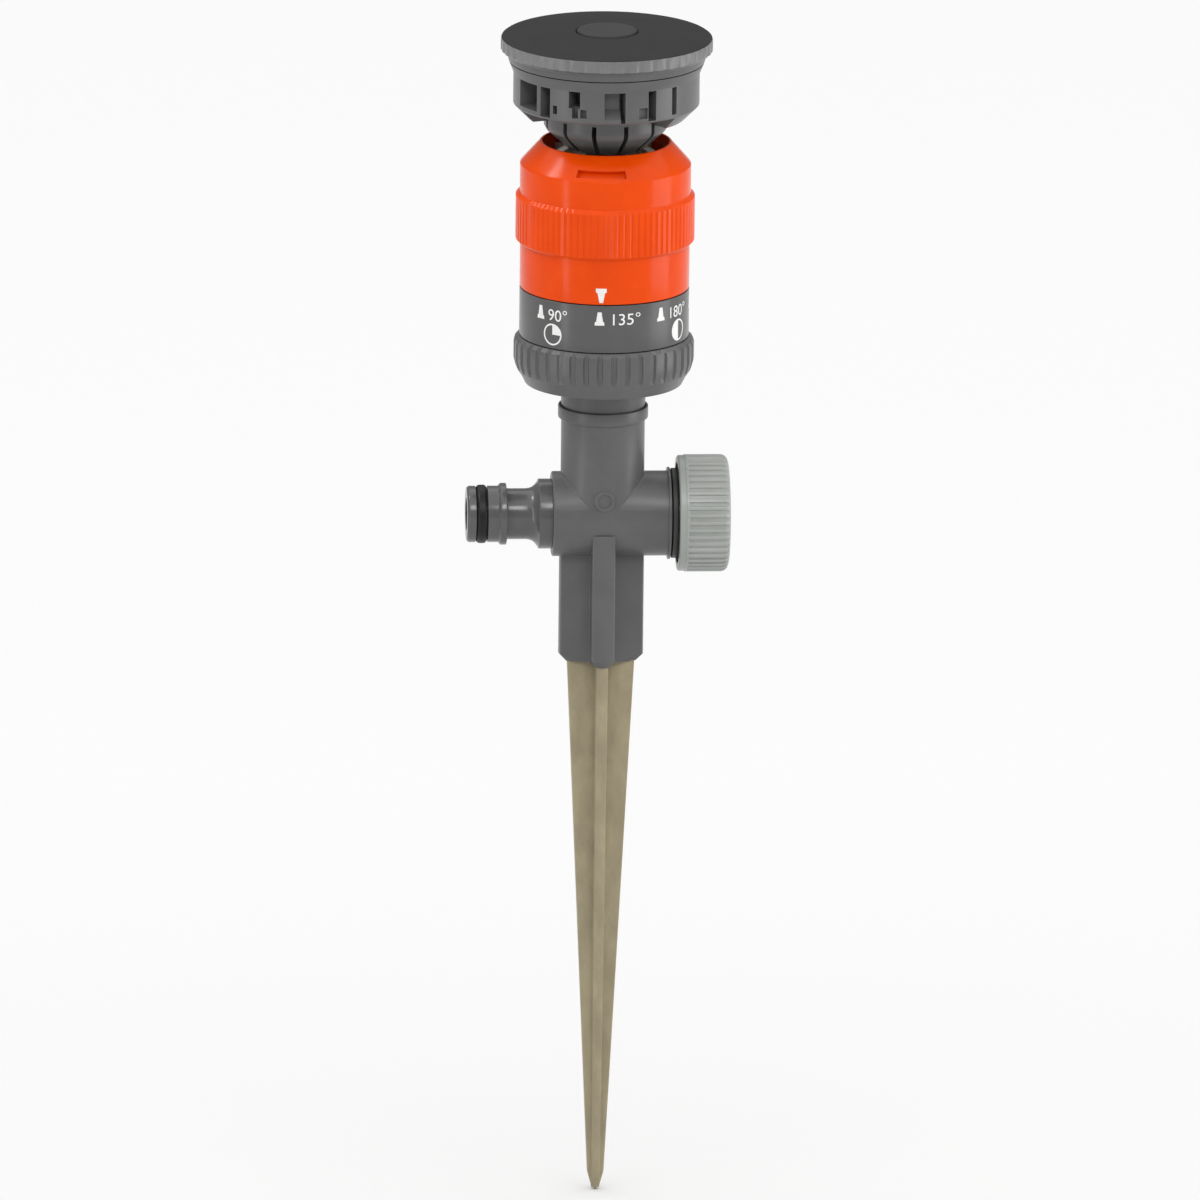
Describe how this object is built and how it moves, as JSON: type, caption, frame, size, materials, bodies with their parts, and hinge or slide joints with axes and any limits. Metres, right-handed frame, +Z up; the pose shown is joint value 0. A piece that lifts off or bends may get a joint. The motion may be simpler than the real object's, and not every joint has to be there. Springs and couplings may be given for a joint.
{
  "type": "lawn sprinkler",
  "caption": "Ground-spike lawn sprinkler: hose connector, flow valve with side knob, swivel base with sector dial, sector ring and a turbine-driven rotating spray head.",
  "frame": {"origin": "on the spike's axis at the soil line, the underside of the spike socket", "axes": "+Z up along the spike and the head's axis of spin; the hose connector points to -X, the flow knob to +X, and the dial's front faces -Y"},
  "size_m": [0.0732, 0.0592, 0.3346],
  "materials": {
    "grey_plastic": "moulded ABS, satin",
    "dark_plastic": "moulded ABS, fine spark-eroded texture",
    "dial_plastic": "moulded ABS, semi-gloss, white pad-printed scale",
    "orange_plastic": "moulded ABS, semi-gloss",
    "knob_plastic": "moulded ABS, satin",
    "champagne_plastic": "glass-filled polyamide, moulded with faint flow marks",
    "natural_plastic": "unpigmented acetal",
    "rubber": "moulded NBR",
    "steel": "turned stainless steel",
    "brass": "cut brass"
  },
  "bodies": {
    "spike_body": {"ground_spike": "champagne_plastic", "valve_body": "grey_plastic", "hose_connector": "grey_plastic", "hose_o_ring": "rubber", "connector_seal": "rubber", "inlet_strainer": "natural_plastic", "valve_bonnet": "dark_plastic", "bonnet_o_ring": "rubber"},
    "flow_knob": {"flow_knob": "knob_plastic", "knob_cap": "knob_plastic", "knob_screw": "steel", "valve_spindle": "natural_plastic", "spindle_o_ring": "rubber"},
    "flow_plug": {"valve_plug": "natural_plastic", "valve_washer": "rubber", "washer_screw": "steel"},
    "head_base": {"base_cap": "grey_plastic", "swivel_o_ring": "rubber", "swivel_clip": "steel", "dial_housing": "dial_plastic", "housing_seal": "rubber", "stator_plate": "natural_plastic", "gear_case": "dark_plastic", "gear_case_lid": "dark_plastic", "lid_screw_1": "steel", "lid_screw_2": "steel", "lid_screw_3": "steel", "layshaft_pin": "steel", "shaft_seal": "rubber", "arc_seat": "natural_plastic", "shaft_bush": "steel"},
    "turbine": {"turbine_wheel": "natural_plastic", "turbine_shaft": "steel", "turbine_pinion": "brass"},
    "layshaft": {"compound_gear": "natural_plastic"},
    "spray_head": {"output_gear": "natural_plastic", "output_shaft": "steel", "thrust_washer": "natural_plastic", "stream_rotor": "grey_plastic", "deflector_disc": "dark_plastic", "head_screw": "steel", "boss_plug": "dark_plastic"},
    "sector_ring": {"sector_ring": "orange_plastic"},
    "arc_sleeve": {"arc_sleeve": "natural_plastic"}
  },
  "joints": [
    {"name": "valve_turn", "type": "hinge", "parent": "spike_body", "child": "flow_knob", "pos_m": [0.021, 0, 0.04225], "axis": [-1, 0, 0], "range_deg": [0, 540]},
    {"name": "plug_travel", "type": "slide", "parent": "spike_body", "child": "flow_plug", "axis": [-1, 0, 0], "range_m": [0, 0.006]},
    {"name": "head_swivel", "type": "hinge", "parent": "spike_body", "child": "head_base", "pos_m": [0, 0, 0.0738], "axis": [0, 0, 1], "continuous": true},
    {"name": "sector_turn", "type": "hinge", "parent": "head_base", "child": "sector_ring", "pos_m": [0, 0, 0.1082], "axis": [0, 0, 1], "range_deg": [-45, 225]},
    {"name": "sleeve_lift", "type": "slide", "parent": "sector_ring", "child": "arc_sleeve", "axis": [0, 0, 1], "range_m": [-0.00038, 0.00188]},
    {"name": "head_spin", "type": "hinge", "parent": "head_base", "child": "spray_head", "pos_m": [0, 0, 0.1482], "axis": [0, 0, 1], "continuous": true},
    {"name": "layshaft_spin", "type": "hinge", "parent": "head_base", "child": "layshaft", "pos_m": [0.009, 0, 0.1077], "axis": [0, 0, 1], "continuous": true},
    {"name": "turbine_spin", "type": "hinge", "parent": "head_base", "child": "turbine", "pos_m": [0, 0, 0.099], "axis": [0, 0, 1], "continuous": true}
  ],
  "couplings": [
    {"joint": "plug_travel", "follows": "valve_turn", "m_per_rad": 0.00063661},
    {"joint": "sleeve_lift", "follows": "sector_turn", "m_per_rad": 0.00047746},
    {"joint": "layshaft_spin", "follows": "head_spin", "ratio": -2.6},
    {"joint": "turbine_spin", "follows": "head_spin", "ratio": 6.76}
  ]
}
